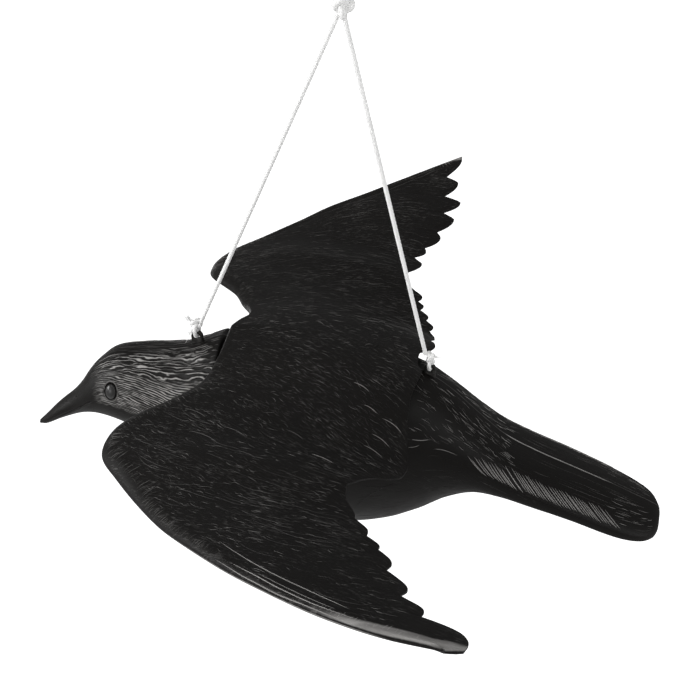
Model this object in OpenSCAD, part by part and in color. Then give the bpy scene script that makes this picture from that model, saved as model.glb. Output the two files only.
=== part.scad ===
// Hanging crow decoy: hollow moulded body in two halves, one-piece wing saddle with
// closed undersides, bead eyes, and a cord bridle tied to two lugs on the back.
// Millimetres. Head towards -X, tail towards +X, left wing towards -Y, +Z up.
// The origin is the inside top of the hanging loop, where a hook bears.

/* [Body] */
// wall thickness of the two body halves
body_wall = 2.2; // [1.8:0.1:2.8]
// diameter of the two peg holes in the back
peg_hole_d = 8.6; // [8.6:0.1:9.6]
// thickness of each half of a lug
lug_half_t = 1.6; // [1.2:0.1:1.6]
// diameter of the hole in each lug
lug_hole_d = 4.2; // [4:0.1:4.8]

/* [Wings] */
// wall thickness of the wing saddle
saddle_wall = 1.8; // [1.4:0.1:2.2]
// wall thickness of the wing undersides
skin_wall = 1.4; // [1.0:0.1:1.8]
// diameter of the pegs under the saddle
peg_d = 8; // [6:0.5:8]
// length of the pegs below their shoulders
peg_len = 9; // [8:0.5:10]

/* [Eyes] */
// diameter of the eye bead
eye_d = 10; // [8:0.5:11]
// height of the eye dome
eye_h = 3.2; // [2:0.2:4]

/* [Cord] */
// diameter of the cord
cord_d = 3.2; // [3:0.1:3.4]
// diameter of the knots at the lugs
tie_knot_d = 9.2; // [8:0.2:9.2]
// diameter of the knot where the two strands meet
top_knot_d = 15; // [14:0.5:18]

/* [Hidden] */

// the shape is drawn from the nape lug; this moves it so that the loop is the origin
hang = [112, 0, 276];
// lug holes, knots and the point where the strands meet, as x and z
nape = [1, -1];
rump = [175, -13];
meet = [112, 240];
ring_r = 4.6;
lug_r = 4.4;

// body stations: x, top, bottom, half width, edge droop, squareness
BODY = [
  [-138, -93, -96, 1.5, 0, 2], [-131, -86, -94.5, 5, 0, 2], [-118, -72.5, -87.5, 8.5, 0, 2],
  [-104, -60, -81, 11.5, 0, 2], [-96, -51, -78, 14.5, 0, 2], [-88, -39.5, -76.5, 18, 0, 2],
  [-80, -30, -76.5, 21, 0, 2], [-66, -19.5, -78.5, 25.5, 0, 2.1], [-45, -15, -86, 29.5, 0, 2.1],
  [-26, -13.5, -96, 33, 0, 2.1], [-12, -11.5, -106, 36, 0, 2.1], [0, -7.5, -114, 38.5, 0, 2.1],
  [13, -1.5, -122, 41.5, 0, 2.1], [24, 2.5, -129, 44.5, 0, 2.1], [50, 4, -141, 50, 0, 2.2],
  [80, 3, -148, 54, 0, 2.2], [120, -2, -149, 54, 0, 2.2], [150, -8, -142.5, 50, 0, 2.2],
  [174, -17, -130.5, 45.5, 0, 2.2], [193, -30, -117, 41.5, 1, 2.2], [213, -48, -104.5, 39.5, 3, 2.4],
  [234, -65.5, -99, 40, 5, 2.8], [255, -76.5, -99.5, 40.5, 7, 3.2], [285, -89, -105.5, 40.5, 8, 3.4],
  [318, -102.5, -118.5, 38, 8, 3.4], [336, -110.5, -124.5, 34, 7, 3.2], [347, -115.5, -127.5, 27, 5, 3],
  [352, -118.5, -128, 18, 2.5, 2.6], [354, -120.5, -127, 6, 0.3, 2.4]];

// wing leading edge: distance from the middle plane, x
LEAD_L = [[0, 27], [15, 27], [35, 26], [55, 21], [78, 8], [103, -15], [115, -23], [128, -25],
  [140, -21], [156, -7], [178, 13.2], [206, 38.6], [227, 61], [245, 84], [262, 107], [285, 140],
  [297, 162], [304, 180], [308, 198], [310, 206]];
LEAD_R = [[0, 27], [12, 30], [23, 34], [35, 32], [55, 22], [78, 9], [103, -14], [115, -22],
  [128, -25], [140, -25], [156, -19], [170, -10], [190, 11], [206, 30], [233, 64], [261, 106],
  [280, 138], [297, 167], [301, 174]];
// heights of the leading and trailing edges: distance from the middle plane, z
LEAD_Z = [[0, 7], [30, 2], [55, -5], [78, -6], [103, -8], [130, -13], [156, -13], [178, -11],
  [206, -3], [227, 5], [249, 12], [270, 21], [300, 35], [310, 39]];
TRAIL_Z = [[0, -7], [30, -11], [60, -24], [86, -37], [100, -34], [116, -26], [130, -17], [142, -11],
  [156, -12], [170, -13], [186, -9], [204, -3], [226, 5], [249, 12], [270, 21], [300, 35], [310, 39]];
// trailing edge with its feather tips and notches: distance from the middle plane, x
TRAIL_L = [[0, 166], [8, 167], [13, 170], [30, 167], [41, 165], [58, 165], [75, 167], [87, 169],
  [96, 168], [106, 166], [116, 159], [122, 152], [131, 146], [142, 140], [145, 137], [155, 138],
  [170, 146], [172, 146], [186, 156], [192, 156], [204, 165], [207, 164], [224, 174], [232, 172],
  [249, 185], [257, 182], [272, 195], [278, 194], [294, 215], [301, 217], [308, 215], [310, 207]];
TRAIL_R = [[0, 166], [5, 166.5], [11, 170], [18, 174.5], [26, 176.5], [37, 175], [45, 171.5],
  [62, 173.5], [85, 172], [93, 167], [98, 170],
  [103, 163], [107, 165], [111, 157], [116, 160], [119, 154], [123, 158], [130, 148], [138, 145],
  [145, 142], [168, 153], [176, 145], [185, 155], [189, 153], [203, 166], [209, 162], [226, 176],
  [232, 165], [249, 180], [253, 164], [270, 176], [276, 164], [300, 177], [301, 176]];
// the same edge without feathers, which the wing's heights follow
TRAIL = [[0, 171], [60, 170], [86, 170], [110, 163], [130, 150], [145, 142], [160, 144], [180, 153],
  [204, 165], [226, 175], [249, 183], [270, 190], [300, 200], [310, 207]];
// arch of the wing above its chord, and roundness of its leading edge
ARCH = [[0, 8], [60, 12], [110, 12], [160, 9], [220, 5], [280, 2], [310, 1]];
ROUND = [[0, 4], [50, 4.5], [90, 6], [130, 7], [180, 6.5], [230, 5], [280, 3.4], [310, 2]];
// chord fractions at which each rib is drawn
CHORD = [0, 0.01, 0.03, 0.06, 0.11, 0.18, 0.27, 0.38, 0.5, 0.63, 0.76, 0.88, 0.97, 1];

// smooth curve through a table: key column 0, value column k
function seg(t, q, i = 0) = (i >= len(t) - 2 || q < t[i + 1][0]) ? i : seg(t, q, i + 1);
function slope(t, k, i) =
  let (a = max(i - 1, 0), b = min(i + 1, len(t) - 1)) (t[b][k] - t[a][k]) / (t[b][0] - t[a][0]);
function smooth(t, q, k = 1) =
  let (c = min(max(q, t[0][0]), t[len(t) - 1][0]), i = seg(t, c), h = t[i + 1][0] - t[i][0],
       u = (c - t[i][0]) / h, v = 1 - u)
  t[i][k] * (1 + 2 * u) * v * v + slope(t, k, i) * h * u * v * v
  + t[i + 1][k] * u * u * (3 - 2 * u) - slope(t, k, i + 1) * h * u * u * v;
// keys of a table with gaps wider than g split evenly
function stations(t, g) = [for (i = [0 : len(t) - 2])
    let (n = ceil((t[i + 1][0] - t[i][0]) / g), d = (t[i + 1][0] - t[i][0]) / n)
    for (j = [0 : n - 1]) t[i][0] + j * d,
    t[len(t) - 1][0]];
function rev(v) = [for (i = [len(v) - 1 : -1 : 0]) v[i]];

// ---- body ----
// stations of the skin, and of the hollow from the brow to near the tail's end
BX = stations(BODY, 8);
HX = [for (x = [-90 : 10 : 330]) x, 338];
BM = 28;
function spow(v, p) = sign(v) * pow(abs(v), p);
// points round the body at x, off inside the skin
function ring(x, off) =
  let (top = smooth(BODY, x, 1) - off, bot = smooth(BODY, x, 2) + off, w = smooth(BODY, x, 3) - off,
       dr = smooth(BODY, x, 4), e = 2 / smooth(BODY, x, 5), zm = (top + bot) / 2, h = (top - bot) / 2)
  [for (j = [0 : BM - 1])
     let (a = 360 * (j + 0.5) / BM, y = spow(sin(a), e), z = zm + h * spow(cos(a), e) - dr * y * y)
     [x - hang[0], w * y, z - hang[2]]];
// closed skin through k rings of n points
function skin_faces(k, n) = concat(
  [for (i = [0 : k - 2], j = [0 : n - 1]) let (a = i * n + j, b = i * n + (j + 1) % n) each
    [[a, b, b + n], [a, b + n, a + n]]],
  [for (j = [1 : n - 2]) each [[0, j + 1, j], [(k - 1) * n, (k - 1) * n + j, (k - 1) * n + j + 1]]]);
module skin(xs, off)
  polyhedron([for (x = xs) each ring(x, off)], skin_faces(len(xs), BM), convexity = 6);

// lug that stands on the back, split along the middle with the body
module lug(p)
  translate([p[0] - hang[0], lug_half_t, p[1] - hang[2]]) rotate([90, 0, 0])
    linear_extrude(2 * lug_half_t) union() {
      circle(lug_r, $fn = 40);
      translate([-lug_r, -10]) square([2 * lug_r, 10]);
    }
module lug_hole(p)
  translate([p[0] - hang[0], 10, p[1] - hang[2]]) rotate([90, 0, 0]) cylinder(d = lug_hole_d, h = 20, $fn = 40);

// pegs that hold the saddle on the back
peg_x = [60, 130];
function back_z(x) = smooth(BODY, x, 1);
module peg_hole(x)
  translate([x - hang[0], 0, back_z(x) - 9 - hang[2]]) cylinder(d = peg_hole_d, h = 12, $fn = 40);

// seat of an eye, with its axis pointing out of the head
eye_at = [-62, 25.6, -41];
module at_eye(s)
  translate([eye_at[0] - hang[0], s * eye_at[1], eye_at[2] - hang[2]])
    rotate([0, 0, -12 * -s]) rotate([-s * 79, 0, 0]) children();
module eye_seat(s) at_eye(s) {
  translate([0, 0, -1]) cylinder(d = eye_d + 0.3, h = 4, $fn = 48);
  translate([0, 0, -6]) cylinder(d = 4.1, h = 6, $fn = 32);
}

module body_half(s) intersection() {
  difference() {
    union() {
      skin(BX, 0);
      lug(nape);
      lug(rump);
    }
    skin(HX, body_wall);
    lug_hole(nape);
    lug_hole(rump);
    for (x = peg_x) peg_hole(x);
    eye_seat(s);
  }
  translate([-400, s > 0 ? 0 : -100, -600]) cube([800, 100, 800]);
}
module body_left_shell() color([0.05, 0.05, 0.05]) body_half(-1);
module body_right_shell() color([0.06, 0.06, 0.06]) body_half(1);

module eye(s) color([0.02, 0.02, 0.02]) at_eye(s) union() {
  translate([0, 0, -1]) rotate_extrude($fn = 48)
    polygon(concat([[0, 0], [eye_d / 2, 0], [eye_d / 2, 0.8]],
      [for (a = [10 : 10 : 80]) [eye_d / 2 * cos(a), 0.8 + eye_h * sin(a)]], [[0, 0.8 + eye_h]]));
  translate([0, 0, -4.5]) cylinder(d = 4, h = 4, $fn = 32);
}
module left_eye() eye(-1);
module right_eye() eye(1);

// ---- wings ----
function trail_t(y) = y < 0 ? TRAIL_L : TRAIL_R;
function lead_t(y) = y < 0 ? LEAD_L : LEAD_R;
// middle height of the wing and half its thickness at x, y
function mid_z(x, y) =
  let (a = abs(y), xl = smooth(lead_t(y), a), s = min(1.15, (x - xl) / (smooth(TRAIL, a) - xl)),
       zl = smooth(LEAD_Z, a), zt = smooth(TRAIL_Z, a))
  zl + (zt - zl) * s + smooth(ARCH, a) * 4 * s * max(0, 1 - s);
function half_t(d, c, y) =
  let (r = smooth(ROUND, abs(y)), q = 2.2 * r)
  max(0.6, d < q ? r * sqrt(max(0, 1 - (1 - d / q) * (1 - d / q)))
               : r + (1.5 - r) * min(1, (d - q) / max(c - q, 1)));
// glued rims stay solid; inside them the wing is hollow
function hollow(d, c, t, wall) = max(0, min(t - wall, 0.8 * (d - 1.6), 0.6 * (c - d - 4)));
function rib(y, up) =
  let (a = abs(y), xl = smooth(lead_t(y), a), xt = lookup(a, trail_t(y)), c = xt - xl)
  [for (f = CHORD)
     let (d = f * c, x = xl + d, t = half_t(d, c, y), m = mid_z(x, y))
     [x, y, m, up > 0 ? t : -t,
      up > 0 ? hollow(d, c, t, saddle_wall) : -hollow(d, c, t, skin_wall)]];
// top and bottom grids: outer side and hollow side, closed round the edges
function sheet_points(ys, up) =
  let (r = [for (y = ys) rib(y, up)], hi = up > 0 ? 3 : 4, lo = up > 0 ? 4 : 3)
  concat([for (q = r) each [for (p = q) [p[0] - hang[0], p[1], p[2] + p[hi] - hang[2]]]],
         [for (q = r) each [for (p = q) [p[0] - hang[0], p[1], p[2] + p[lo] - hang[2]]]]);
function sheet_faces(n, m) =
  let (o = n * m, e = (n - 1) * m)
  concat(
    [for (i = [0 : n - 2], j = [0 : m - 2]) let (a = i * m + j) each
      [[a, a + m, a + m + 1], [a, a + m + 1, a + 1],
       [o + a, o + a + m + 1, o + a + m], [o + a, o + a + 1, o + a + m + 1]]],
    [for (i = [0 : n - 2]) let (a = i * m, b = i * m + m - 1) each
      [[a + m, a, o + a], [a + m, o + a, o + a + m],
       [b, b + m, o + b + m], [b, o + b + m, o + b]]],
    [for (j = [0 : m - 2]) each
      [[j, j + 1, o + j + 1], [j, o + j + 1, o + j],
       [e + j + 1, e + j, o + e + j], [e + j + 1, o + e + j, o + e + j + 1]]]);
module sheet(ys, up)
  polyhedron(sheet_points(ys, up), sheet_faces(len(ys), len(CHORD)), convexity = 10);
// ribs of each wing, root to tip
RIBS_L = stations(TRAIL_L, 9);
RIBS_R = stations(TRAIL_R, 9);
skin_from = 60;
function left_ribs(from) = [for (y = rev(RIBS_L)) if (y >= from) -y];
function right_ribs(from) = [for (y = RIBS_R) if (y >= from) y];

// peg with a shoulder that stands on the back
module peg(x) {
  b = max(back_z(x - 7), back_z(x), back_z(x + 7)) + 0.4;
  translate([x - hang[0], 0, b - hang[2]]) cylinder(d = 14, h = mid_z(x, 0) - b + 1.2, $fn = 40);
  translate([x - hang[0], 0, b - peg_len - hang[2]]) cylinder(d = peg_d, h = peg_len + 1, $fn = 40);
}
module wing_saddle() color([0.07, 0.07, 0.07]) union() {
  sheet(concat(left_ribs(0.1), right_ribs(0)), 1);
  for (x = peg_x) peg(x);
}
module left_wing_underside() color([0.09, 0.09, 0.09]) sheet(left_ribs(skin_from), -1);
module right_wing_underside() color([0.09, 0.09, 0.09]) sheet(right_ribs(skin_from), -1);

// ---- cord ----
knot_n = [nape[0], nape[1] + 2 * ring_r];
knot_r = [rump[0], rump[1] + 2 * ring_r];
function at(p) = [p[0] - hang[0], 0, p[1] - hang[2]];
// turn through the lug and the knot over it
module tie(p) color([0.93, 0.93, 0.91]) union() {
  translate(at([p[0], p[1] + ring_r])) rotate([0, 90, 0]) rotate_extrude($fn = 48)
    translate([ring_r, 0]) circle(cord_d / 2 - 0.1, $fn = 20);
  translate(at([p[0], p[1] + 2 * ring_r])) sphere(d = tie_knot_d, $fn = 32);
}
module nape_tie() tie(nape);
module rump_tie() tie(rump);

// tube along points in the middle plane
function unit2(v) = v / norm(v);
function way(p, i) = let (a = max(i - 1, 0), b = min(i + 1, len(p) - 1)) unit2(p[b] - p[a]);
module tube(p, sides) {
  n = len(p);
  pts = [for (i = [0 : n - 1]) let (t = way(p, i)) for (k = [0 : sides - 1])
      let (a = 360 * k / sides, u = cos(a) * cord_d / 2)
      [p[i][0] - t[1] * u - hang[0], sin(a) * cord_d / 2, p[i][1] + t[0] * u - hang[2]]];
  polyhedron(pts, skin_faces(n, sides), convexity = 4);
}
// straight strand from beside a lug's knot into the knot where the strands meet
strand_gap = 0.4;
strand_top = 6.4;
function strand(k) =
  let (v = meet - k, l = norm(v), t = v / l, a = tie_knot_d / 2 + strand_gap, b = l - strand_top,
       n = ceil((b - a) / 12))
  [for (i = [0 : n]) k + t * (a + (b - a) * i / n)];
module cord_front() color([0.95, 0.95, 0.93]) tube(strand(knot_n), 12);
module cord_rear() color([0.95, 0.95, 0.93]) tube(strand(knot_r), 12);
module top_knot() color([0.92, 0.92, 0.9]) translate(at(meet)) sphere(d = top_knot_d, $fn = 40);
// loop above the knot, as offsets from it
LOOP = [[-3, 5.5], [-5, 11], [-8, 18], [-10, 25], [-9, 32], [-5, 36.1], [0, 37.6],
        [5, 36.1], [9, 32], [10, 25], [8, 18], [5, 11], [3, 5.5]];
module hanging_loop() color([0.95, 0.95, 0.93]) tube([for (q = LOOP) meet + q], 12);

body_left_shell();
body_right_shell();
wing_saddle();
left_wing_underside();
right_wing_underside();
left_eye();
right_eye();
nape_tie();
rump_tie();
cord_front();
cord_rear();
top_knot();
hanging_loop();
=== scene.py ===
import math

import bpy
import numpy as np
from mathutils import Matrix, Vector


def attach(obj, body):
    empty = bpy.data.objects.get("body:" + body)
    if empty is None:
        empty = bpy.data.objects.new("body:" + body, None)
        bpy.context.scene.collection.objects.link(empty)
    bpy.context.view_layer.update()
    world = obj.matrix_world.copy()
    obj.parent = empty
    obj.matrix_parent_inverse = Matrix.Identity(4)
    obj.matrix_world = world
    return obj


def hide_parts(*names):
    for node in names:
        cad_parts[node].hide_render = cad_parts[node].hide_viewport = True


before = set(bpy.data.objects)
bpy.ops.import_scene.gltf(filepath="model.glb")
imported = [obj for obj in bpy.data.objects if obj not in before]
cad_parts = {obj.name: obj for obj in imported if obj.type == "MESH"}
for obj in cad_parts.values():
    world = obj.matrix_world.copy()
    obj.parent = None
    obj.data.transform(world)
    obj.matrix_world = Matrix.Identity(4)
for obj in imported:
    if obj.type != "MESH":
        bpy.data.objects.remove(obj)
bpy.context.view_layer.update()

scene = bpy.context.scene
scene.view_settings.view_transform = "Standard"

# All lengths below are in millimetres, in the bird's own coordinates: x towards the tail, y towards the
# right wing, z up. HANG is where the inside top of the hanging loop, the origin of the part, lies in them.
HANG = np.array([112.0, 0.0, 276.0])


def row(p):
    return (np.asarray(p, float) - HANG) * 0.001


# ---------------------------------------------------------------- camera
AIM = Vector((0.0041, 0.0, -0.2788))
AZ, EL, DIST = math.radians(9.0), math.radians(31.4), 0.730
BACK = Vector((math.sin(AZ) * math.cos(EL), -math.cos(AZ) * math.cos(EL), math.sin(EL)))
camera = bpy.data.objects.new("camera", bpy.data.cameras.new("camera"))
camera.data.lens = 51.43
camera.data.sensor_width = 36.0
camera.data.clip_start = 0.02
camera.data.clip_end = 100.0
camera.location = AIM + DIST * BACK
camera.rotation_euler = BACK.to_track_quat("Z", "Y").to_euler()
scene.collection.objects.link(camera)
scene.camera = camera


# ---------------------------------------------------------------- small tools
def ss(a, b, t):
    u = np.clip((np.asarray(t, float) - a) / (b - a), 0.0, 1.0)
    return u * u * (3 - 2 * u)


def hash01(i, j, seed):
    n = (i * 374761393 + j * 668265263 + seed * 974634777) & 0xFFFFFFFF
    n = ((n ^ (n >> 13)) * 1274126177) & 0xFFFFFFFF
    return ((n ^ (n >> 16)) & 0xFFFFFF) / float(0xFFFFFF)


def noise(u, v, seed=0):
    u, v = np.broadcast_arrays(np.asarray(u, float), np.asarray(v, float))
    i, j = np.floor(u).astype(np.int64), np.floor(v).astype(np.int64)
    a, b = u - i, v - j
    a, b = a * a * (3 - 2 * a), b * b * (3 - 2 * b)
    top = hash01(i, j, seed) * (1 - a) + hash01(i + 1, j, seed) * a
    low = hash01(i, j + 1, seed) * (1 - a) + hash01(i + 1, j + 1, seed) * a
    return top * (1 - b) + low * b


def unit(v):
    return v / np.maximum(np.linalg.norm(v, axis=-1, keepdims=True), 1e-12)


class Curve:
    """A smooth line through the rows of a table: column k against column 0."""

    def __init__(self, rows, k=1):
        t = np.array(rows, float)
        x, y = t[:, 0], t[:, k]
        self.x, self.y = x, y
        m = (y[2:] - y[:-2]) / (x[2:] - x[:-2])
        self.m0 = np.concatenate([[(y[1] - y[0]) / (x[1] - x[0])], m, [(y[-1] - y[-2]) / (x[-1] - x[-2])]])
        self.m1 = self.m0

    def __call__(self, q):
        x = self.x
        q = np.clip(q, x[0], x[-1])
        i = np.clip(np.searchsorted(x, q, "right") - 1, 0, len(x) - 2)
        h = x[i + 1] - x[i]
        u = (q - x[i]) / h
        v = 1 - u
        return (self.y[i] * (1 + 2 * u) * v * v + self.m0[i] * h * u * v * v
                + self.y[i + 1] * u * u * (3 - 2 * u) - self.m1[i + 1] * h * u * u * v)


class Edge(Curve):
    """As Curve, for a row of feather tips: round at each high point and sharp at each low one."""

    def __init__(self, rows):
        super().__init__(rows)
        g = np.diff(self.y) / np.diff(self.x)
        left = np.concatenate([[g[0]], g])
        right = np.concatenate([g, [g[-1]]])
        peak = (left > 0) & (right <= 0) | (left >= 0) & (right < 0)
        dip = (left < 0) & (right >= 0) | (left <= 0) & (right > 0)
        both = np.where(left * right > 0, 2 * left * right / np.where(left + right == 0, 1, left + right), 0.0)
        self.m1 = np.where(peak, 0.0, np.where(dip, left, both))
        self.m0 = np.where(peak, 0.0, np.where(dip, right * 1.5, both))


class Shell:
    """Closed meshes gathered into one piece, with two values at each vertex for its material: how much lighter or
    greyer it is painted, as painted highlight or painted shade, and a direction for its textures.
    """

    def __init__(self):
        self.v, self.f, self.relief, self.flow, self.n = [], [], [], [], 0

    def add(self, verts, faces, relief=0.0, flow=None):
        verts = np.asarray(verts, float).reshape(-1, 3)
        self.v.append(verts)
        self.f += [np.asarray(f, np.int64).reshape(len(f), -1) + self.n for f in faces if len(f)]
        self.relief.append(np.broadcast_to(np.asarray(relief, float).reshape(-1), (len(verts),)) if np.size(relief) == 1
                           else np.asarray(relief, float).reshape(-1))
        self.flow.append(verts if flow is None else np.asarray(flow, float).reshape(-1, 3))
        self.n += len(verts)
        return self

    def piece(self, name, body, nodes, material, slot, sharp=55.0):
        v = row(np.concatenate(self.v)).astype(np.float32)
        idx = np.concatenate([f.ravel() for f in self.f]).astype(np.int32)
        tot = np.concatenate([np.full(len(f), f.shape[1]) for f in self.f])
        start = np.concatenate([[0], np.cumsum(tot)[:-1]]).astype(np.int32)
        me = bpy.data.meshes.new(name)
        me.vertices.add(len(v))
        me.vertices.foreach_set("co", v.ravel())
        me.loops.add(len(idx))
        me.loops.foreach_set("vertex_index", idx)
        me.polygons.add(len(tot))
        me.polygons.foreach_set("loop_start", start)
        me.update(calc_edges=True)
        me.validate()
        me.shade_smooth()
        if sharp:
            me.set_sharp_from_angle(angle=math.radians(sharp))
        # how much lighter (painted highlight) or, on the cord, greyer (painted shade) each vertex is painted
        me.attributes.new("relief", "FLOAT", "POINT").data.foreach_set("value", np.concatenate(self.relief).astype(np.float32))
        me.attributes.new("flow", "FLOAT_VECTOR", "POINT").data.foreach_set("vector", np.concatenate(self.flow).astype(np.float32).ravel())
        me.materials.append(material)
        ob = bpy.data.objects.new(name, me)
        scene.collection.objects.link(ob)
        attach(ob, body)
        if nodes:
            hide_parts(*nodes)
        return ob


def quads(nu, nv, flip=False, wrap=False):
    i = np.arange(nu - 1)[:, None]
    j = np.arange(nv if wrap else nv - 1)[None, :]
    k = (j + 1) % nv
    q = np.stack([i * nv + j, (i + 1) * nv + j, (i + 1) * nv + k, i * nv + k], -1).reshape(-1, 4)
    return q[:, ::-1] if flip else q


def ridges(shell, P, N, w, h, relief, sink=0.2):
    """Slim raised lines, M of them with K points each, on a surface with normals N."""
    M, K = P.shape[:2]
    w, h = np.broadcast_to(w, (M,)), np.broadcast_to(h, (M,))
    T = unit(np.gradient(P, axis=1))
    S = unit(np.cross(T, N))
    tp = (0.12 + 0.88 * np.sqrt(np.clip(1 - (2 * np.linspace(0, 1, K) - 1) ** 2, 0, 1)))[None, :, None]
    half = w[:, None, None] / 2 * tp
    V = np.stack([P - S * half - N * sink, P + N * h[:, None, None] * tp, P + S * half - N * sink], 2)
    b = (np.arange(M)[:, None] * K + np.arange(K - 1)[None, :]).reshape(-1) * 3
    q = np.concatenate([np.stack([b, b + 1, b + 4, b + 3], 1), np.stack([b + 1, b + 2, b + 5, b + 4], 1), np.stack([b + 2, b, b + 3, b + 5], 1)])
    s, e = np.arange(M) * K * 3, (np.arange(M) * K + K - 1) * 3
    t = np.concatenate([np.stack([s, s + 2, s + 1], 1), np.stack([e, e + 1, e + 2], 1)])
    # the crest of each line is painted lighter than its flanks: a painted highlight
    r = np.zeros((M, K, 3)) + np.array([0.2, 1.0, 0.2]) * np.broadcast_to(relief, (M,))[:, None, None]
    shell.add(V, [q, t], r, V)


def tube(path, radius, sides=20, braid=0.0, pitch=4.0, closed=False, phase=0.0):
    """A round cord along a path, its surface woven from eight strands."""
    p = np.asarray(path, float)
    n = len(p)
    t = unit(np.roll(p, -1, 0) - np.roll(p, 1, 0)) if closed else unit(np.gradient(p, axis=0))
    u = np.zeros_like(p)
    ref = np.array([0.0, 1.0, 0.0]) if abs(t[0][1]) < 0.8 else np.array([1.0, 0.0, 0.0])
    u[0] = unit(np.cross(t[0], ref))
    for i in range(1, n):
        u[i] = unit(u[i - 1] - t[i] * np.dot(u[i - 1], t[i]))
    turn = np.zeros(n)
    if closed:
        last = unit(u[-1] - t[0] * np.dot(u[-1], t[0]))
        gap = math.atan2(np.dot(np.cross(last, u[0]), t[0]), np.dot(last, u[0]))
        turn = gap * np.arange(n) / n
    w = np.cross(t, u)
    s = np.concatenate([[0], np.cumsum(np.linalg.norm(np.diff(p, axis=0), axis=1))])
    if closed:
        whole = s[-1] + np.linalg.norm(p[0] - p[-1])
        pitch = whole / max(1, round(whole / pitch))
    a = np.linspace(0, 2 * np.pi, sides, endpoint=False)[None, :]
    g, d = 4 * a / (2 * np.pi) + s[:, None] / pitch * 2 + phase, 4 * a / (2 * np.pi) - s[:, None] / pitch * 2
    over = (np.floor(g) + np.floor(d)) % 2 < 1
    fg, fd = g - np.floor(g), d - np.floor(d)
    bump = np.where(over, np.sin(np.pi * fg) ** 0.6 * (0.6 + 0.4 * np.sin(np.pi * fd)), np.sin(np.pi * fd) ** 0.6 * (0.6 + 0.4 * np.sin(np.pi * fg)))
    r = np.asarray(radius, float).reshape(-1, 1) * (1 + braid * (bump - 0.6))
    b = a + turn[:, None]
    V = p[:, None] + r[..., None] * (np.cos(b)[..., None] * u[:, None] + np.sin(b)[..., None] * w[:, None])
    flow = np.stack([np.broadcast_to(s[:, None], r.shape), np.broadcast_to(a * 2.0, r.shape), bump], -1)
    if closed:
        i, j = np.arange(n)[:, None], np.arange(sides)[None, :]
        k, m = (j + 1) % sides, (i + 1) % n
        f = [np.stack([i * sides + j, m * sides + j, m * sides + k, i * sides + k], -1).reshape(-1, 4)[:, ::-1]]
    else:
        f = [quads(n, sides, True, True), np.arange(sides)[None, :], (np.arange(sides)[::-1] + (n - 1) * sides)[None, :]]
    return V.reshape(-1, 3), f, bump.reshape(-1), flow.reshape(-1, 3)


def spline(points, step=0.4):
    """Evenly spaced points on a smooth line through the points given."""
    p = np.asarray(points, float)
    k = np.arange(len(p), dtype=float)
    c = [Curve(np.stack([k, p[:, i]], 1)) for i in range(3)]
    q = np.linspace(0, len(p) - 1, 60 * len(p))
    d = np.stack([f(q) for f in c], 1)
    s = np.concatenate([[0], np.cumsum(np.linalg.norm(np.diff(d, axis=0), axis=1))])
    m = max(4, int(s[-1] / step) + 1)
    return np.stack([np.interp(np.linspace(0, s[-1], m), s, d[:, i]) for i in range(3)], 1)


# ---------------------------------------------------------------- materials
def material(name):
    m = bpy.data.materials.new(name)
    m.use_nodes = True
    nt = m.node_tree
    return m, nt.nodes, nt.links, nt.nodes["Principled BSDF"]


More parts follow.
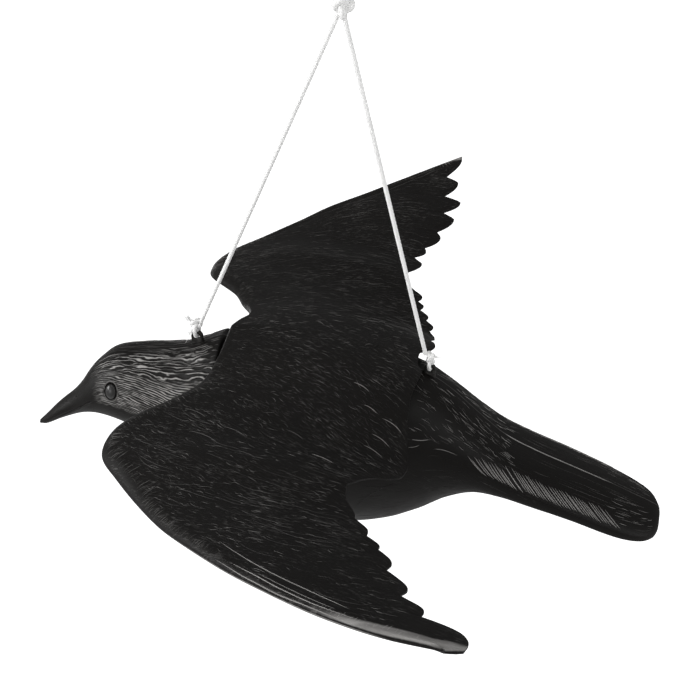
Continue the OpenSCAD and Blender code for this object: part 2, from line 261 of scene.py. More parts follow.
def plastic(name, dark, light, rough, stroke, grain, patch, stroke_glint, weave, cut, floor):
    """Black moulded plastic: satin, with a grain and short strokes that follow the feathers; its ridges and strokes are
    painted greyer as a painted highlight.
    """
    m, N, L, bsdf = material(name)
    flow = N.new("ShaderNodeAttribute")
    flow.attribute_name = "flow"
    rel = N.new("ShaderNodeAttribute")
    rel.attribute_name = "relief"
    co = N.new("ShaderNodeTexCoord")

    def tex(source, scale, detail, size=1.0, distortion=0.0):
        mp = N.new("ShaderNodeMapping")
        mp.inputs["Scale"].default_value = scale
        L.new(source, mp.inputs["Vector"])
        t = N.new("ShaderNodeTexNoise")
        t.inputs["Scale"].default_value = size
        t.inputs["Detail"].default_value = detail
        t.inputs["Roughness"].default_value = 0.55
        t.inputs["Distortion"].default_value = distortion
        L.new(mp.outputs["Vector"], t.inputs["Vector"])
        return t.outputs["Fac"]

    def remap(value, lo, hi, to_lo, to_hi):
        r = N.new("ShaderNodeMapRange")
        for k, x in (("From Min", lo), ("From Max", hi), ("To Min", to_lo), ("To Max", to_hi)):
            r.inputs[k].default_value = x
        L.new(value, r.inputs["Value"])
        return r.outputs["Result"]

    def times(a, b):
        q = N.new("ShaderNodeMath")
        q.operation = "MULTIPLY"
        L.new(a, q.inputs[0])
        L.new(b, q.inputs[1])
        return q.outputs[0]

    fine = tex(flow.outputs["Vector"], weave, 3.0, 1.0, 0.6)
    patches = remap(tex(flow.outputs["Vector"], (0.045, 0.06, 0.05), 2.0), patch[0], patch[1], 0.6, 1.0)
    speck = tex(co.outputs["Object"], (1.0, 1.0, 1.0), 4.0, 1100.0)
    cloud = tex(co.outputs["Object"], (1.0, 1.0, 1.0), 3.0, 34.0)
    lines = times(remap(fine, cut, cut + 0.18, 0.0, 1.0), patches)

    b1 = N.new("ShaderNodeBump")
    b1.inputs["Strength"].default_value = 1.0
    b1.inputs["Distance"].default_value = stroke
    L.new(lines, b1.inputs["Height"])
    b2 = N.new("ShaderNodeBump")
    b2.inputs["Strength"].default_value = 1.0
    b2.inputs["Distance"].default_value = grain
    L.new(speck, b2.inputs["Height"])
    L.new(b1.outputs["Normal"], b2.inputs["Normal"])
    L.new(b2.outputs["Normal"], bsdf.inputs["Normal"])

    # painted highlight: the strokes and the per-vertex attribute lift the base colour towards the light colour
    tone = N.new("ShaderNodeMath")
    tone.operation = "MULTIPLY_ADD"
    L.new(lines, tone.inputs[0])
    tone.inputs[1].default_value = stroke_glint
    L.new(rel.outputs["Fac"], tone.inputs[2])
    shade = N.new("ShaderNodeMath")
    shade.operation = "MULTIPLY_ADD"
    L.new(cloud, shade.inputs[0])
    shade.inputs[1].default_value = 0.3
    L.new(tone.outputs[0], shade.inputs[2])
    ramp = N.new("ShaderNodeValToRGB")
    ramp.color_ramp.elements[0].position = floor
    ramp.color_ramp.elements[0].color = (*dark, 1)
    ramp.color_ramp.elements[1].position = 1.0
    ramp.color_ramp.elements[1].color = (*light, 1)
    L.new(shade.outputs[0], ramp.inputs["Fac"])
    L.new(ramp.outputs["Color"], bsdf.inputs["Base Color"])
    L.new(remap(cloud, 0.3, 0.7, rough[0], rough[1]), bsdf.inputs["Roughness"])
    bsdf.inputs["IOR"].default_value = 1.46
    bsdf.inputs["Specular IOR Level"].default_value = 0.18
    return m


def gloss(name):
    m, N, L, bsdf = material(name)
    co = N.new("ShaderNodeTexCoord")
    t = N.new("ShaderNodeTexNoise")
    t.inputs["Scale"].default_value = 260.0
    t.inputs["Detail"].default_value = 3.0
    L.new(co.outputs["Object"], t.inputs["Vector"])
    r = N.new("ShaderNodeMapRange")
    r.inputs["To Min"].default_value = 0.26
    r.inputs["To Max"].default_value = 0.38
    L.new(t.outputs["Fac"], r.inputs["Value"])
    L.new(r.outputs["Result"], bsdf.inputs["Roughness"])
    ramp = N.new("ShaderNodeValToRGB")
    ramp.color_ramp.elements[0].color = (0.014, 0.014, 0.014, 1)
    ramp.color_ramp.elements[1].color = (0.026, 0.025, 0.024, 1)
    L.new(t.outputs["Fac"], ramp.inputs["Fac"])
    L.new(ramp.outputs["Color"], bsdf.inputs["Base Color"])
    b = N.new("ShaderNodeBump")
    b.inputs["Distance"].default_value = 0.00002
    L.new(t.outputs["Fac"], b.inputs["Height"])
    L.new(b.outputs["Normal"], bsdf.inputs["Normal"])
    return m


def fabric(name):
    """White braided cord: the hollows between its strands are painted greyer as painted shade, with fine fibres along
    it.
    """
    m, N, L, bsdf = material(name)
    rel = N.new("ShaderNodeAttribute")
    rel.attribute_name = "relief"
    flow = N.new("ShaderNodeAttribute")
    flow.attribute_name = "flow"
    mp = N.new("ShaderNodeMapping")
    mp.inputs["Scale"].default_value = (1.2, 7.0, 1.0)
    L.new(flow.outputs["Vector"], mp.inputs["Vector"])
    t = N.new("ShaderNodeTexNoise")
    t.inputs["Scale"].default_value = 1.0
    t.inputs["Detail"].default_value = 4.0
    L.new(mp.outputs["Vector"], t.inputs["Vector"])
    mix = N.new("ShaderNodeMath")
    mix.operation = "MULTIPLY_ADD"
    L.new(t.outputs["Fac"], mix.inputs[0])
    mix.inputs[1].default_value = 0.5
    L.new(rel.outputs["Fac"], mix.inputs[2])
    ramp = N.new("ShaderNodeValToRGB")
    ramp.color_ramp.elements[0].position = 0.25
    ramp.color_ramp.elements[0].color = (0.90, 0.895, 0.88, 1)
    ramp.color_ramp.elements[1].position = 0.95
    ramp.color_ramp.elements[1].color = (0.985, 0.985, 0.98, 1)
    L.new(mix.outputs[0], ramp.inputs["Fac"])
    L.new(ramp.outputs["Color"], bsdf.inputs["Base Color"])
    b = N.new("ShaderNodeBump")
    b.inputs["Distance"].default_value = 0.00015
    L.new(t.outputs["Fac"], b.inputs["Height"])
    L.new(b.outputs["Normal"], bsdf.inputs["Normal"])
    bsdf.inputs["Roughness"].default_value = 0.85
    bsdf.inputs["Sheen Weight"].default_value = 1.0
    bsdf.inputs["Sheen Roughness"].default_value = 0.4
    return m


# the second colour of each plastic is the painted highlight on its ridges and strokes
BODY_MAT = plastic("body_plastic", (0.0033, 0.0027, 0.0022), (0.36, 0.350, 0.340), (0.44, 0.56), 0.00006, 0.00006, (0.42, 0.62), 0.10, (0.13, 0.95, 0.5), 0.50, 0.24)
WING_MAT = plastic("wing_plastic", (0.0036, 0.0029, 0.0024), (0.34, 0.330, 0.320), (0.46, 0.58), 0.00014, 0.00008, (0.30, 0.60), 0.17, (0.22, 1.25, 0.5), 0.52, 0.21)
EYE_MAT = gloss("eye_plastic")
CORD_MAT = fabric("cord")

# ---------------------------------------------------------------- cords
NAPE, RUMP, MEET = np.array([1.0, 0.0, -1.0]), np.array([175.0, 0.0, -13.0]), np.array([112.0, 0.0, 240.0])
UP = np.array([0.0, 0.0, 1.0])
NAPE_KNOT, RUMP_KNOT = NAPE + 9.2 * UP, RUMP + 9.2 * UP


def strand(name, a, b, node):
    d = unit(b - a)
    p = np.linspace(a + 2.5 * d, b - 3.0 * d, 640)
    V, f, bump, flow = tube(p, 1.52, 24, 0.16, 5.6)
    ob = Shell().add(V, f, bump, flow).piece(name, "bridle", [node], CORD_MAT, "cord", None)
    return ob


front_strand = strand("front_strand", NAPE_KNOT + np.array([2.5, 0, 0]), MEET - np.array([1.0, 0, 0]), "cord_front")
rear_strand = strand("rear_strand", RUMP_KNOT - np.array([3.0, 0, 0]), MEET - np.array([1.0, 0, 0]), "cord_rear")

LOOP = [(-2, 3), (-3, 5.5), (-5, 11), (-8, 18), (-10, 25), (-9, 32), (-5, 36.1), (0, 37.5), (5, 36.1), (9, 32), (10, 25), (8, 18), (5, 11), (3, 5.5), (2, 3)]
p = spline([MEET + np.array([x, 0.0, z]) for x, z in LOOP])
V, f, bump, flow = tube(p, 1.52, 24, 0.16, 5.6)
loop = Shell().add(V, f, bump, flow).piece("loop", "bridle", ["hanging_loop"], CORD_MAT, "cord", None)


def knot(shell, centre, size, radius, stretch, turn):
    """An overhand knot pulled tight: one cord that crosses itself three times."""
    t = np.linspace(0, 2 * np.pi, 260, endpoint=False)
    q = np.stack([np.sin(t) + 2 * np.sin(2 * t), np.cos(t) - 2 * np.cos(2 * t), -1.25 * np.sin(3 * t)], 1) * size
    c, s = math.cos(turn), math.sin(turn)
    q = np.stack([q[:, 0] * c - q[:, 2] * s, q[:, 0] * s + q[:, 2] * c, q[:, 1] * stretch], 1)
    V, f, bump, flow = tube(q + centre, radius, 18, 0.14, 5.6, True)
    shell.add(V, f, bump, flow)


def frays(shell, start, towards, count, spread, seed):
    """Loose fibres at a cut end."""
    rng = np.random.default_rng(seed)
    for _ in range(count):
        d = unit(np.asarray(towards, float) + rng.normal(0, spread, 3))
        n = rng.uniform(5.0, 10.0)
        bend = rng.normal(0, 1.4, 3)
        p = spline([start + rng.normal(0, 0.6, 3), start + d * n * 0.5 + bend * 0.4, start + d * n + bend], 0.8)
        V, f, bump, flow = tube(p, 0.30 * (1 - 0.75 * np.linspace(0, 1, len(p))), 6)
        shell.add(V, f, 0.9, flow)


def tie(name, hole, centre, node, stretch, turn, fray):
    sh = Shell()
    a = np.linspace(0, 2 * np.pi, 120, endpoint=False)
    ring = hole + np.stack([0.5 * np.sin(a), 3.9 * np.sin(a), 4.6 - 4.6 * np.cos(a)], 1)
    V, f, bump, flow = tube(ring, 1.45, 18, 0.15, 5.6, True)
    sh.add(V, f, bump, flow)
    knot(sh, centre, 1.15, 1.6, stretch, turn)
    for start, towards, count, spread, seed in fray:
        frays(sh, centre + np.asarray(start, float), towards, count, spread, seed)
    return sh.piece(name, "bird", [node], CORD_MAT, "cord", None)


nape_knot = tie("nape_knot", NAPE, NAPE_KNOT, "nape_tie", 1.35, 0.5, [((-2.5, -1.5, 3.5), (-0.75, -0.2, 0.75), 16, 0.22, 3), ((-2.0, -2.5, -3.0), (-0.6, -0.5, -0.5), 6, 0.35, 5)])
rump_knot = tie("rump_knot", RUMP, RUMP_KNOT, "rump_tie", 1.2, 1.9, [((2.5, -2.0, 2.0), (0.8, -0.2, 0.45), 7, 0.3, 8)])
sh = Shell()
knot(sh, MEET, 1.8, 2.3, 1.1, 0.8)
top_knot = sh.piece("top_knot_tied", "bridle", ["top_knot"], CORD_MAT, "cord", None)

# ---------------------------------------------------------------- body
BODY = [
    # x, top, bottom, half width, edge droop, squareness
    (-138, -93, -96, 1.5, 0, 2), (-131, -86, -94.5, 5, 0, 2), (-118, -72.5, -87.5, 8.5, 0, 2),
    (-104, -60, -81, 11.5, 0, 2), (-96, -51, -78, 14.5, 0, 2), (-88, -39.5, -76.5, 18, 0, 2),
    (-80, -30, -76.5, 21, 0, 2), (-66, -19.5, -78.5, 25.5, 0, 2.1), (-45, -15, -86, 29.5, 0, 2.1),
    (-26, -13.5, -96, 33, 0, 2.1), (-12, -11.5, -106, 36, 0, 2.1), (0, -7.5, -114, 38.5, 0, 2.1),
    (13, -1.5, -122, 41.5, 0, 2.1), (24, 2.5, -129, 44.5, 0, 2.1), (50, 4, -141, 50, 0, 2.2),
    (80, 3, -148, 54, 0, 2.2), (120, -2, -149, 54, 0, 2.2), (150, -8, -142.5, 50, 0, 2.2),
    (174, -17, -130.5, 45.5, 0, 2.2), (193, -30, -117, 41.5, 1, 2.2), (213, -48, -104.5, 39.5, 3, 2.4),
    (234, -65.5, -99, 40, 5, 2.8), (255, -76.5, -99.5, 40.5, 7, 3.2), (285, -89, -105.5, 40.5, 8, 3.4),
    (318, -102.5, -118.5, 38, 8, 3.4), (336, -110.5, -124.5, 34, 7, 3.2), (347, -115.5, -127.5, 27, 5, 3),
    (352, -118.5, -128, 18, 2.5, 2.6), (354, -120.5, -127, 6, 0.3, 2.4)]
B_TOP, B_LOW, B_HALF, B_DROOP, B_SQ = (Curve(BODY, k) for k in range(1, 6))
XT = np.linspace(-138, 354, 985)
FT = np.linspace(0, 1, 401)


def body_table(off=0.0):
    """y and z round half of each ring, at even shares of the way from the back to the belly."""
    a = np.linspace(0, np.pi, 721)[None, :]
    x = XT[:, None]
    top, low, w, e = B_TOP(x) - off, B_LOW(x) + off, B_HALF(x) - off, 2 / B_SQ(x)
    sy, c = np.clip(np.sin(a), 0, 1) ** e, np.cos(a)
    y = w * sy
    z = (top + low) / 2 + np.sign(c) * (top - low) / 2 * np.abs(c) ** e - B_DROOP(x) * sy * sy
    s = np.concatenate([np.zeros((len(XT), 1)), np.cumsum(np.hypot(np.diff(y, axis=1), np.diff(z, axis=1)), axis=1)], 1)
    Y = np.stack([np.interp(FT * s[i, -1], s[i], y[i]) for i in range(len(XT))])
    Z = np.stack([np.interp(FT * s[i, -1], s[i], z[i]) for i in range(len(XT))])
    return Y, Z, s[:, -1]


BY, BZ, RING = body_table()


def sample(T, x, f):
    i = np.clip((x - XT[0]) / (XT[1] - XT[0]), 0, len(XT) - 1.001)
    j = np.clip(f * (len(FT) - 1), 0, len(FT) - 1.001)
    a, b = i.astype(int), j.astype(int)
    u, v = i - a, j - b
    return (T[a, b] * (1 - u) + T[a + 1, b] * u) * (1 - v) + (T[a, b + 1] * (1 - u) + T[a + 1, b + 1] * u) * v


def body_base(x, f, side):
    x, f = np.broadcast_arrays(np.asarray(x, float), np.asarray(f, float))
    g = np.where(f < 0, -f, np.where(f > 1, 2 - f, f))
    y = sample(BY, x, g) * np.where((f < 0) | (f > 1), -1, 1)
    return np.stack([x, side * y, sample(BZ, x, g)], -1)


def body_normal(x, f, side):
    du = body_base(x + 0.9, f, side) - body_base(x - 0.9, f, side)
    dv = body_base(x, f + 0.005, side) - body_base(x, f - 0.005, side)
    return unit(np.cross(du, dv) * (-1 if side < 0 else 1))


EYE = {s: np.array([-62.0, s * 25.6, -41.0]) for s in (-1, 1)}


def eye_frame(side):
    yaw, tilt = math.radians(12), math.radians(11)
    n = np.array([-math.sin(yaw) * math.cos(tilt), side * math.cos(yaw) * math.cos(tilt), math.sin(tilt)])
    u = unit(np.cross(n, UP)) * -side
    w = unit(np.cross(u, n)) * -side
    lean = math.radians(7)
    return n, u * math.cos(lean) + w * math.sin(lean), w * math.cos(lean) - u * math.sin(lean)


def eye_distance(P, side):
    """Distance from the middle of the oval eye, as if it were round with a radius of 5."""
    n, u, w = eye_frame(side)
    d = P - EYE[side]
    return 5.0 * np.sqrt((d @ u / 4.3) ** 2 + (d @ w / 5.9) ** 2 + (d @ n / 9.0) ** 2)


def slot_depth(x, f, more=0.0):
    """The neck rolls down into a gap in front of the saddle."""
    return (9.0 + more) * ss(20.0, 26.0, x + more) * (1 - ss(34, 46, x - more)) * (1 - ss(0.13, 0.22, f - 0.02 * more)) * (0.35 + 0.65 * ss(0, 0.05, f + 0.03 * more))


def body_relief(x, f, side):
    """Height of the moulded lines and ridges over the smooth body, in mm, and the painted highlight on their crests."""
    k = 11 if side < 0 else 31
    L = np.interp(x, XT, RING)
    s = f * L
    P = body_base(x, f, side)
    rho = eye_distance(P, side)
    away = ss(6.9, 8.4, rho)
    neck = 1 - ss(24 - 44 * ss(0.30, 0.52, f), 35, x + 16 * (noise(x / 7, f * 30, k + 9) - 0.5))
    # wavy lines along the neck, finer ones on the cheek and the crown; tone paints a highlight on their crests
    warp = 0.020 * (noise(x / 20, f * 22, k) - 0.5) + 0.020 * (noise(x / 8.0, f * 40, k + 1) - 0.5) + 0.008 * (noise(x / 3.2, f * 90, k + 6) - 0.5)
    q = (f + warp) / 0.0188
    n = np.floor(q + 0.5)
    broken = 0.25 + 0.75 * ss(0.18, 0.50, noise(x / 9 + 7.31 * n, n * 1.7, k + 2))
    rear = 0.06 * ss(0, 18, x)
    bold = ss(0.065, 0.10, f - rear) * (1 - ss(0.215, 0.29, f + 0.05 * (noise(x / 12, f * 30, k + 7) - 0.5))) * ss(-88, -66, x) * (1 - ss(19, 25, x))
    wave = 0.5 + 0.5 * np.cos(2 * np.pi * q)
    h = 1.0 * bold * broken * wave ** 1.6 * (0.55 + 0.45 * ss(-70, -15, x))
    tone = bold * broken ** 1.5 * wave ** 5
    q = (f - 0.0008 * (x + 60) + 0.5 * warp) / 0.0150
    n = np.floor(q + 0.5)
    dots = 0.40 + 0.60 * ss(0.25, 0.7, noise(x / 3.4 + 3.13 * n, n * 1.3, k + 3))
    cheek = ss(0.225, 0.285, f) * (1 - ss(0.50, 0.60, f)) * ss(-82, -66, x) * neck
    wave = 0.5 + 0.5 * np.cos(2 * np.pi * q)
    h = h + 0.34 * cheek * dots * wave
    tone = np.maximum(tone, 0.95 * cheek * dots * (0.05 + 0.95 * wave ** 2.6))
    q = (f + 0.3 * warp) / 0.0105
    crown = (1 - ss(0.06, 0.085, f)) * ss(-88, -70, x) * (1 - ss(8, 22, x))
    n = np.floor(q + 0.5)
    arc = crown * ss(0.35, 0.8, noise(x / 9 + 5.1 * n, n * 1.9, k + 4)) * (0.5 + 0.5 * np.cos(2 * np.pi * q))
    h = h + 0.20 * arc
    tone = np.maximum(tone, 0.2 * arc)
    # thin lines on the nape, up to the lug, with a painted highlight on their crests
    q = (f + 0.8 * warp) / 0.0125
    n = np.floor(q + 0.5)
    wave = 0.5 + 0.5 * np.cos(2 * np.pi * q)
    thin = ss(0.012, 0.028, f) * (1 - ss(0.10, 0.17, f)) * ss(-46, -16, x) * (1 - ss(17, 23, x)) * ss(0.28, 0.62, noise(x / 6 + 4.7 * n, n * 1.6, k + 8))
    h = h + 0.28 * thin * wave
    tone = np.maximum(tone, 0.5 * thin * wave ** 2.5)
    h, tone = h * away, tone * away
    # ring round the eye, with a painted highlight on the ring
    h = h + 0.45 * np.exp(-((rho - 6.9) / 0.75) ** 2) - 0.9 * (1 - ss(5.3, 5.9, rho))
    tone = np.maximum(tone, 0.38 * np.exp(-((rho - 7.0) / 0.5) ** 2))
    # mouth and nostril
    lip = f - (0.533 + 0.0019 * (-82 - x))
    mouth = ss(-134, -108, x) * (1 - ss(-84, -79, x)) * (0.5 + 0.5 * ss(-112, -98, x))
    h = h - 0.75 * mouth * np.exp(-(lip * L / 0.75) ** 2) + 0.30 * mouth * np.exp(-((lip * L - 1.6) / 0.9) ** 2)
    spot = np.hypot(x + 98, (f - 0.32) * L)
    h = h - 0.9 * np.exp(-(spot / 0.9) ** 2)
    # parting line on the back, a rib along the tail, both with a painted highlight along them
    rib = 0.22 + 0.42 * ss(228, 240, x) * (1 - ss(312, 322, x))
    h = h + rib * np.exp(-(s / 0.75) ** 2) + 0.2 * np.exp(-((L - s) / 1.1) ** 2)
    tone = np.maximum(tone, np.exp(-(s / 0.55) ** 2) * (0.2 + 0.6 * ss(232, 238, x) * (1 - ss(300, 320, x))))
    # shallow lie of the plumage
    h = h + (0.3 - 0.25 * ss(160, 230, x)) * (noise(x / 34, s / 15, k + 5) - 0.5) * ss(-70, 0, x) * (1 - ss(335, 350, x)) * ss(0.0, 6.0, s)
    h = h - slot_depth(x, f)
    return h, tone


def body_at(x, f, side):
    n = body_normal(x, f, side)
    return body_base(x, f, side) + n * body_relief(x, f, side)[0][..., None], n


X1 = np.arange(-138, 30.1, 0.85)
X2 = np.concatenate([np.arange(33, 165, 3.4), np.arange(165, 347, 1.3), np.arange(347, 354, 0.7), [354.0]])
F1 = np.concatenate([[0, 0.002, 0.004, 0.0065, 0.009], np.linspace(0.0115, 0.60, 226), np.linspace(0.60, 0.975, 26)[1:], [0.985, 0.992, 0.996, 1.0]])
F2 = np.concatenate([[0, 0.002, 0.004, 0.0065, 0.0095, 0.0135], np.linspace(0.018, 0.56, 84), np.linspace(0.56, 0.975, 30)[1:], [0.985, 0.992, 0.996, 1.0]])
XS = np.concatenate([X1, X2])
BYI, BZI, _ = body_table(2.2)


def bridge(ia, fa, ib, fb):
    """Triangles between two rows of vertices with different spacing."""
    i = j = 0
    out = []
    while i < len(ia) - 1 or j < len(ib) - 1:
        if j == len(ib) - 1 or (i < len(ia) - 1 and fa[i + 1] <= fb[j + 1]):
            out.append((ia[i], ib[j], ia[i + 1]))
            i += 1
        else:
            out.append((ia[i], ib[j], ib[j + 1]))
            j += 1
    return np.array(out)


def half_body(side, name, node):
    sh = Shell()
    n1, n2, m1, m2 = len(X1), len(X2), len(F1), len(F2)
    nu = n1 + n2
    flip = side > 0
    V, tone, flow = [], [], []
    for xs, fs in ((X1, F1), (X2, F2)):
        X, F = np.meshgrid(xs, fs, indexing="ij")
        P, _ = body_at(X, F, side)
        P[:, 0, 1] = P[:, -1, 1] = 0.0
        V.append(P.reshape(-1, 3))
        tone.append(np.clip(body_relief(X, F, side)[1], 0, 1).ravel())
        flow.append(np.stack([X, F * np.interp(X, XT, RING), np.full_like(X, 40.0 * side)], -1).reshape(-1, 3))
    # the hollow inside, between the solid beak and the solid end of the tail
    fi = np.linspace(0, 1, 13)
    ins = np.where((XS > -90) & (XS < 338))[0]
    i0, i1, ni = ins[0], ins[-1], len(fi)
    Xi, Fi = np.meshgrid(XS[ins], fi, indexing="ij")
    Q = np.stack([Xi, side * sample(BYI, Xi, Fi), sample(BZI, Xi, Fi)], -1) - body_normal(Xi, Fi, side) * slot_depth(Xi, Fi, 2.0)[..., None]
    Q[:, 0, 1] = Q[:, -1, 1] = 0.0
    V.append(Q.reshape(-1, 3))
    tone.append(np.zeros(Q[..., 0].size))
    flow.append(np.stack([Xi, Fi * 60, np.full_like(Xi, 80.0)], -1).reshape(-1, 3))
    second, base = n1 * m1, n1 * m1 + n2 * m2
    outer = [quads(n1, m1, flip), quads(n2, m2, flip) + second]
    inner = quads(len(ins), ni, not flip) + base
    top = np.concatenate([np.arange(n1) * m1, second + np.arange(n2) * m2])
    low = np.concatenate([np.arange(n1) * m1 + m1 - 1, second + np.arange(n2) * m2 + m2 - 1])
    itop, ilow = base + np.arange(len(ins)) * ni, base + np.arange(len(ins)) * ni + ni - 1
    seam = bridge((n1 - 1) * m1 + np.arange(m1), F1, second + np.arange(m2), F2)
    out = [i for i in range(nu - 1) if i + 1 <= i0 - 1 or i >= i1 + 1]
    flat = [(top[i], low[i], low[i + 1], top[i + 1]) for i in out]
    for k in range(len(ins) - 1):
        i = ins[k]
        flat.append((top[i], itop[k], itop[k + 1], top[i + 1]))
        flat.append((ilow[k], low[i], low[i + 1], ilow[k + 1]))
    flat = np.array(flat)
    ends6 = np.array([(top[i0 - 1], low[i0 - 1], low[i0], ilow[0], itop[0], top[i0]),
                      (top[i1], itop[-1], ilow[-1], low[i1], low[i1 + 1], top[i1 + 1])])
    caps = [np.arange(m1)[None, :], (np.arange(m2)[::-1] + second + (n2 - 1) * m2)[None, :]]
    icaps = [(np.arange(ni)[::-1] + base)[None, :], (np.arange(ni) + base + (len(ins) - 1) * ni)[None, :]]
    turn = (lambda a: a[:, ::-1]) if flip else (lambda a: a)
    sh.add(np.concatenate(V), outer + [inner, turn(seam), turn(flat[:, ::-1]), turn(ends6[:, ::-1])] + [turn(c[:, ::-1]) for c in caps + icaps],
           np.concatenate(tone), np.concatenate(flow))

    rng = np.random.default_rng(21 if side < 0 else 22)

    def lines(x0, x1, f0, f1, w, hh, tone, bow=0.0, K=9):
        """Raised lines from (x0, f0) to (x1, f1), one for each entry."""
        x0, x1, f0, f1 = (np.atleast_1d(np.asarray(v, float))[:, None] for v in (x0, x1, f0, f1))
        t = np.linspace(0, 1, K)[None, :]
        b = np.atleast_1d(np.asarray(bow, float))[:, None]
        pp, nn = body_at(x0 + (x1 - x0) * t, f0 + (f1 - f0) * t + b * 4 * t * (1 - t), side)
        ridges(sh, pp, nn, w, hh, tone)

    # barbs in a band along each side of the tail, their crests painted lighter as painted glints
    c = np.arange(213.0, 318.0, 2.5)
    c = c + rng.normal(0, 0.16, len(c))
    j = rng.normal(0, 0.011, len(c))
    start, end = 1 - ss(213, 248, c), ss(298, 317, c)
    lines(c - 6.0, c + 6.6, 0.322 + j + 0.045 * start, 0.452 + j * 0.5, 1.08, 0.42, rng.uniform(0.78, 1.0, len(c)) * (1 - 0.4 * start - 0.25 * end), 0.006)
    # lines along the tail, and flecks on the rump, painted lighter as painted glints
    for n, xa, xb, fa, fb, la, lb, w, hh, dim in ((30, 236, 318, 0.03, 0.30, 12, 46, 0.6, 0.12, 0.32), (175, 164, 238, 0.03, 0.33, 3.0, 8, 0.5, 0.2, 0.85), (44, 308, 343, 0.10, 0.45, 5, 13, 0.7, 0.16, 0.75),
                                                  (46, 172, 228, 0.40, 0.80, 6, 22, 0.6, 0.10, 0.22), (64, 126, 200, 0.45, 0.95, 8, 26, 0.6, 0.10, 0.2)):
        x = rng.uniform(xa, xb, n)
        ln = rng.uniform(la, lb, n)
        fm = rng.uniform(fa, fb, n)
        x1 = np.minimum(x + ln, 347.0)
        drift = rng.normal(0.014 if xb == 238 else 0.0, 0.006, n)
        bright = rng.random(n) ** 2
        lines(x, x1, fm, fm + drift, w, hh * (0.5 + 0.6 * bright), dim * (0.25 + 0.75 * bright), rng.normal(0, 0.004, n), 7)
    # single longer lines on the flank, painted lighter as painted glints
    lines([167, 165, 183, 128], [180, 173, 200, 156], [0.336, 0.372, 0.372, 0.66], [0.328, 0.36, 0.385, 0.545], 0.9, 0.28, [0.75, 0.55, 0.6, 0.1], [0.006, 0.004, -0.006, -0.02])

    # half of each lug, with its hole
    for hx, hz in ((NAPE[0], NAPE[2]), (RUMP[0], RUMP[2])):
        a = np.linspace(0, 2 * np.pi, 64, endpoint=False)
        ring = np.stack([np.cos(a), np.sin(a)], 1)
        rim = ring * 4.4
        leg = ring[:, 1] < -1e-9
        reach = np.minimum(4.4 / np.maximum(np.abs(ring[leg, 0]), 1e-6), 10.0 / np.abs(ring[leg, 1]))
        rim[leg] = ring[leg] * reach[:, None]
        sections = [(2.1, 1.0, 0.0), (2.1, 1.0, 1.25), (2.5, 1.0, 1.6), (3.9, 0.9, 1.6), (4.4, 1.0, 1.1), (4.4, 1.0, 0.0)]
        V = []
        for rr, sc, y in sections:
            q = ring * rr if rr < 3.5 else rim * (rr / 4.4)
            V.append(np.stack([hx + q[:, 0], np.full(64, side * y), hz + q[:, 1]], 1))
        V = np.array(V)
        f = [quads(len(sections), 64, side > 0, True)]
        last = np.arange(64)
        nxt = (last + 1) % 64
        shut = np.stack([(len(sections) - 1) * 64 + last, last, nxt, (len(sections) - 1) * 64 + nxt], 1)
        f.append(shut if side < 0 else shut[:, ::-1])
        sh.add(V, f, 0.15, V.reshape(-1, 3))
    return sh.piece(name, "bird", [node], BODY_MAT, "body_plastic")


left_half = half_body(-1, "left_body", "body_left_shell")
right_half = half_body(1, "right_body", "body_right_shell")


def eye(side, name, node):
    """A polished bead, domed in front and stepped behind where it sits in the head."""
    n, u, w = eye_frame(side)
    u, w = u * 0.86, w * 1.18
    a = np.linspace(0, np.pi / 2, 22)
    prof = [(0.0, -2.0), (3.0, -2.0), (3.4, -1.7), (3.4, -0.9), (4.6, -0.9), (5.0, -0.6)] + [(5.0 * math.cos(t), 2.6 * math.sin(t)) for t in a[:-1]] + [(0.0, 2.6)]
    m = 56
    c = np.linspace(0, 2 * np.pi, m, endpoint=False)
    V, f = [], []
    for r, z in prof[1:-1]:
        V.append(EYE[side] + n * z + r * (np.cos(c)[:, None] * u + np.sin(c)[:, None] * w))
    k = len(V)
    V = np.concatenate(V + [[EYE[side] + n * prof[0][1]], [EYE[side] + n * prof[-1][1]]])
    j = np.arange(m)
    f = [quads(k, m, False, True), np.stack([np.full(m, k * m), j, (j + 1) % m], 1), np.stack([np.full(m, k * m + 1), (k - 1) * m + (j + 1) % m, (k - 1) * m + j], 1)]
    if np.dot(np.cross(u, w), n) < 0:
        f = [g[:, ::-1] for g in f]
    return Shell().add(V, f, 0.0).piece(name, "bird", [node], EYE_MAT, "eye_plastic", 40.0)


eye(-1, "left_eye_bead", "left_eye")
eye(1, "right_eye_bead", "right_eye")

# ---------------------------------------------------------------- wings
LEAD_L = Curve([(0, 27), (15, 27), (35, 26), (55, 21), (78, 8), (103, -15), (115, -23), (128, -25), (140, -21), (156, -7), (178, 13.2), (206, 38.6),
                (227, 61), (245, 84), (262, 107), (285, 140), (297, 162), (304, 180), (308, 198), (310, 206)])
LEAD_R = Curve([(0, 27), (12, 30), (23, 34), (35, 32), (55, 22), (78, 9), (103, -14), (115, -22), (128, -25), (140, -25), (156, -19), (170, -10),
                (190, 11), (206, 30), (233, 64), (261, 106), (280, 138), (297, 167), (301, 174)])
LEAD_Z = Curve([(0, 7), (30, 2), (55, -5), (78, -6), (103, -8), (130, -13), (156, -13), (178, -11), (206, -3), (227, 5), (249, 12), (270, 21), (300, 35), (310, 39)])
TRAIL_Z = Curve([(0, -7), (30, -11), (60, -24), (86, -37), (100, -34), (116, -26), (130, -17), (142, -11), (156, -12), (170, -13), (186, -9), (204, -3),
                 (226, 5), (249, 12), (270, 21), (300, 35), (310, 39)])
TIPS_L = [(0, 166), (8, 167), (13, 170), (30, 167), (41, 165), (58, 165), (75, 167), (87, 169), (96, 168), (106, 166), (116, 159), (122, 152), (131, 146), (142, 140), (145, 137),
          (155, 138), (170, 146), (172, 146), (186, 156), (192, 156), (204, 165), (207, 164), (224, 174), (232, 172), (249, 185), (257, 182), (272, 195), (278, 194), (294, 215),
          (301, 217), (308, 215), (310, 207)]
